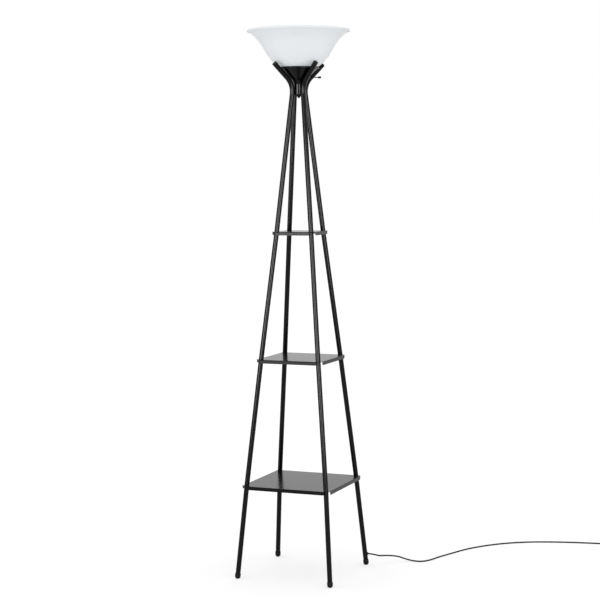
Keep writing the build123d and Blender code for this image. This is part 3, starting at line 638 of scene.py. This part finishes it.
def metal(name, dark, light, roughness, squeeze):
    """Bare or plated metal with fine marks that run round the Z axis."""
    material, shader = finish(name, light, roughness, metallic=1.0)
    marks = noise(material, scale=400, detail=4, stretch=(1, 1, squeeze))
    vary_colour(material, marks, shader.inputs["Base Color"], dark, light)
    dulling = noise(material, scale=700, detail=3, stretch=(1, 1, squeeze))
    vary_value(material, dulling, shader.inputs["Roughness"],
               low=roughness - METAL_ROUGHNESS_SPREAD, high=roughness + METAL_ROUGHNESS_SPREAD)
    relief(material, shader, marks, depth=0.00002)
    return material


for name, dark, light, roughness, squeeze in (
    ("zinc_steel", (0.52, 0.53, 0.53), (0.62, 0.63, 0.62), 0.34, 8),
    ("dark_steel", (0.012, 0.012, 0.012), (0.022, 0.0215, 0.021), 0.36, 6),
    ("brass", (0.66, 0.48, 0.20), (0.76, 0.58, 0.27), 0.28, 8),
    ("bulb_base_metal", (0.72, 0.73, 0.74), (0.80, 0.81, 0.82), 0.26, 10),
):
    finishes[name] = metal(name, dark, light, roughness, squeeze)

# %% [markdown]
# ## Insulating plastic of the lampholder
# The lampholder's body and the ring on it are a warm white, heat-proof moulding with a slightly dull,
# grained face. It is seen only deep in the bowl, so it needs no scattering.

# %% Insulating plastic
def insulator():
    """White moulded insulating plastic of the lampholder."""
    material, shader = finish("holder_plastic", colour=(0.72, 0.71, 0.67), roughness=0.4)
    vary_colour(material, noise(material, scale=120, detail=3), shader.inputs["Base Color"],
                dark=(0.70, 0.69, 0.65), light=(0.74, 0.73, 0.69))
    vary_value(material, noise(material, scale=250, detail=3), shader.inputs["Roughness"],
               low=0.34, high=0.46)
    relief(material, shader, noise(material, scale=900, detail=2), depth=0.00002)
    return material


finishes["holder_plastic"] = insulator()

# %% [markdown]
# ## Dressing the pieces
# The frame's record says which finish each rigid piece has, so a loop gives it to them. The three flexible
# pieces made above are dressed by name.

# %% Give every piece its finish
def dress(piece, slot_name):
    """Gives a piece one finish."""
    piece.data.materials.clear()
    piece.data.materials.append(finishes[slot_name])


for part in frame["record"]["subparts"]:
    dress(nodes[part["node"]], part["material_slot"])
dress(supply_cord, "black_cord")
dress(mains_plug, "black_plug_plastic")
dress(coil_strap, "black_plug_plastic")
print("finishes", len(finishes))

# %% [markdown]
# ## White surroundings
# The photograph has a pure white ground and no visible horizon. A white room could be built, but a world
# shader does the same without walls. It is white to the camera and to reflections, and gives the object only
# a soft even light, so that the white bowl stays a little darker than the ground.

# %% World
WORLD_LIGHT = 0.58


def white_world():
    """White to camera, glossy and transmission rays, soft grey light otherwise."""
    world = bpy.data.worlds.new("studio_world")
    scene.world = world
    world.use_nodes = True
    tree = world.node_tree
    tree.nodes.clear()
    rays = tree.nodes.new("ShaderNodeLightPath")
    either = tree.nodes.new("ShaderNodeMath")
    either.operation = "MAXIMUM"
    all_three = tree.nodes.new("ShaderNodeMath")
    all_three.operation = "MAXIMUM"
    soft = tree.nodes.new("ShaderNodeBackground")
    soft.inputs["Color"].default_value = (1, 1, 1, 1)
    soft.inputs["Strength"].default_value = WORLD_LIGHT
    white = tree.nodes.new("ShaderNodeBackground")
    white.inputs["Color"].default_value = (1, 1, 1, 1)
    white.inputs["Strength"].default_value = 1.0
    mix = tree.nodes.new("ShaderNodeMixShader")
    output = tree.nodes.new("ShaderNodeOutputWorld")
    tree.links.new(rays.outputs["Is Camera Ray"], either.inputs[0])
    tree.links.new(rays.outputs["Is Glossy Ray"], either.inputs[1])
    tree.links.new(either.outputs[0], all_three.inputs[0])
    tree.links.new(rays.outputs["Is Transmission Ray"], all_three.inputs[1])
    tree.links.new(all_three.outputs[0], mix.inputs["Fac"])
    tree.links.new(soft.outputs[0], mix.inputs[1])
    tree.links.new(white.outputs[0], mix.inputs[2])
    tree.links.new(mix.outputs[0], output.inputs["Surface"])
    print("world's light on the object", WORLD_LIGHT)


white_world()

# %% [markdown]
# ## Floor
# The floor is a large pale sheet. A white floor that is only lit turns grey, and one that only glows has no
# shadows, so this one does both: it is lit by the world and adds just enough of its own white to come out a
# hair above the ground's white where nothing shades it. Contact shadows stay. The glow is seen only by the
# camera and in reflections, and puts no light on the object.

# %% Floor
FLOOR_HALF = 30.0
FLOOR_COLOUR = 0.85
FLOOR_WHITE = 1.05
FLOOR_GLOW = FLOOR_WHITE - FLOOR_COLOUR * WORLD_LIGHT


def floor_sheet():
    """Pale floor that stays white and keeps a soft shadow."""
    work = bmesh.new()
    bmesh.ops.create_grid(work, x_segments=1, y_segments=1, size=FLOOR_HALF)
    floor = new_piece(work, "studio_floor")
    material = bpy.data.materials.new("studio_floor")
    material.use_nodes = True
    tree = material.node_tree
    tree.nodes.clear()
    rays = tree.nodes.new("ShaderNodeLightPath")
    diffuse = tree.nodes.new("ShaderNodeBsdfDiffuse")
    diffuse.inputs["Color"].default_value = (FLOOR_COLOUR, FLOOR_COLOUR, FLOOR_COLOUR, 1)
    glow = tree.nodes.new("ShaderNodeEmission")
    glow.inputs["Strength"].default_value = FLOOR_GLOW
    total = tree.nodes.new("ShaderNodeAddShader")
    mix = tree.nodes.new("ShaderNodeMixShader")
    output = tree.nodes.new("ShaderNodeOutputMaterial")
    seen = tree.nodes.new("ShaderNodeMath")
    seen.operation = "MAXIMUM"
    tree.links.new(rays.outputs["Is Camera Ray"], seen.inputs[0])
    tree.links.new(rays.outputs["Is Glossy Ray"], seen.inputs[1])
    tree.links.new(diffuse.outputs[0], total.inputs[0])
    tree.links.new(glow.outputs[0], total.inputs[1])
    tree.links.new(seen.outputs[0], mix.inputs["Fac"])
    tree.links.new(diffuse.outputs[0], mix.inputs[1])
    tree.links.new(total.outputs[0], mix.inputs[2])
    tree.links.new(mix.outputs[0], output.inputs["Surface"])
    floor.data.materials.append(material)
    print("floor glow", round(FLOOR_GLOW, 3))
    return floor


studio_floor = floor_sheet()

# %% [markdown]
# ## What each light may reach
# Light linking lets a light reach some pieces and leave out others, which black cloths do in a studio.
# Nearby lamps would brighten the floor beyond white, and a floor brighter than white eats into the edges of
# thin dark tubes and of the cord, so all of them leave the floor out. The lamps that draw lines along the
# tubes also leave out the satin bowl, the bulb, the knob's bare shaft and the flat shelves, which would burn
# out where they are seen at a flat angle.

# %% Light linking
def linked(name, state, *pieces):
    """Collection of the pieces that a light reaches alone (INCLUDE) or leaves out (EXCLUDE)."""
    group = bpy.data.collections.new(name)
    for piece in pieces:
        group.objects.link(piece)
    for member in group.collection_objects:
        member.light_linking.link_state = state
    print(name, state, len(pieces))
    return group


shelves = [nodes[level + "_shelf"] for level in ("bottom", "middle", "top")]
without_floor = linked("without_floor", "EXCLUDE", studio_floor)
round_black_pieces = linked("round_black_pieces", "EXCLUDE", studio_floor, nodes["shade"],
                            nodes["bulb_glass"], nodes["switch_shaft"], *shelves)

# %% [markdown]
# ## Soft boxes
# Point lamps would give hard little highlights, so every lamp is a soft box, an area light. Some only light
# diffuse surfaces and some are only mirrored by glossy ones. None is seen by the camera itself, so that none
# gets into a picture taken from another side.

# %% Soft box
def soft_box(name, place, looking, width, height, power, reaches, draws_lines=False):
    """Area light at a place that looks one way, with its power per square metre."""
    data = bpy.data.lights.new(name, "AREA")
    data.shape = "RECTANGLE"
    data.size = width
    data.size_y = height
    data.energy = power * width * height
    box = bpy.data.objects.new(name, data)
    box.matrix_world = Matrix.Translation(place) @ looking.to_track_quat("-Z", "Y").to_matrix().to_4x4()
    box.visible_camera = False
    box.visible_diffuse = not draws_lines
    box.visible_glossy = draws_lines
    box.light_linking.receiver_collection = reaches
    scene.collection.objects.link(box)
    print(name, round(data.energy, 1), "W")


def upright_box(name, azimuth, distance, heights, width, power, reaches, draws_lines=False):
    """Soft box that stands round the lamp and faces it; azimuth 0 is in front."""
    low, high = heights
    angle = math.radians(azimuth)
    outwards = Vector((math.sin(angle), -math.cos(angle), 0))
    place = outwards * distance + Vector((0, 0, (low + high) / 2))
    soft_box(name, place, -outwards, width, high - low, power, reaches, draws_lines)


# %% [markdown]
# ## Light on the white bowl
# Four broad boxes stand round the lamp and light the bowl evenly. They would only make grey patches on the
# flat shelves, so glossy rays don't see them.

# %% Broad boxes
FILL_DISTANCE = 3.4
FILL_HEIGHTS = (0.3, 1.9)
FILL_WIDTH = 1.6

for side, azimuth, power in (("front", 22, 20), ("left", -60, 10), ("right", 105, 10), ("back", 202, 15)):
    upright_box(side + "_fill", azimuth, FILL_DISTANCE, FILL_HEIGHTS, FILL_WIDTH, power, without_floor)

# %% [markdown]
# ## Lines along the black tubes
# Two more boxes are seen only by glossy rays and draw the bright lines along the tubes, one to the left and
# one to the right of each tube's middle. A round tube mirrors a lamp that stands about as high as that part
# of the tube, and the lines in the photograph are clear on the upper half and fade out towards the bottom
# shelf. So the lower edges of these boxes are a little above knee height.

# %% Boxes that draw the tubes' lines
LINE_DISTANCE = 3.2
LINE_HEIGHTS = (0.60, 2.10)

for side, azimuth, width, power in (("left", -11, 1.7, 54), ("right", 46, 1.3, 54)):
    upright_box(side + "_line", azimuth, LINE_DISTANCE, LINE_HEIGHTS, width, power,
                round_black_pieces, draws_lines=True)

# %% [markdown]
# ## Shine on the shelves' front flanges
# The front flanges of the top and the middle shelf shine in the photograph, so each has a small box of its
# own, placed where the flange mirrors it to the camera. It stands lower than that shelf's top face, which
# therefore can't mirror it.

# %% Boxes for the flanges
EDGE_AZIMUTH = -22
EDGE_WIDTH = 1.2

for level, heights, power in (("top", (0.80, 1.10), 58), ("middle", (0.20, 0.65), 20)):
    this_shelf = linked(level + "_shelf_alone", "INCLUDE", nodes[level + "_shelf"])
    upright_box(level + "_edge_line", EDGE_AZIMUTH, LINE_DISTANCE, heights, EDGE_WIDTH, power,
                this_shelf, draws_lines=True)

# %% [markdown]
# ## Light into the bowl
# The upright boxes light the bowl only outside. One more hangs over the lamp and looks down into it.

# %% Box over the lamp
OVERHEAD_HEIGHT = 3.6
OVERHEAD_SIZE = 1.6
OVERHEAD_POWER = 4.5

soft_box("overhead_fill", Vector((0, 0, OVERHEAD_HEIGHT)), Vector((0, 0, -1)), OVERHEAD_SIZE, OVERHEAD_SIZE,
         OVERHEAD_POWER, without_floor)
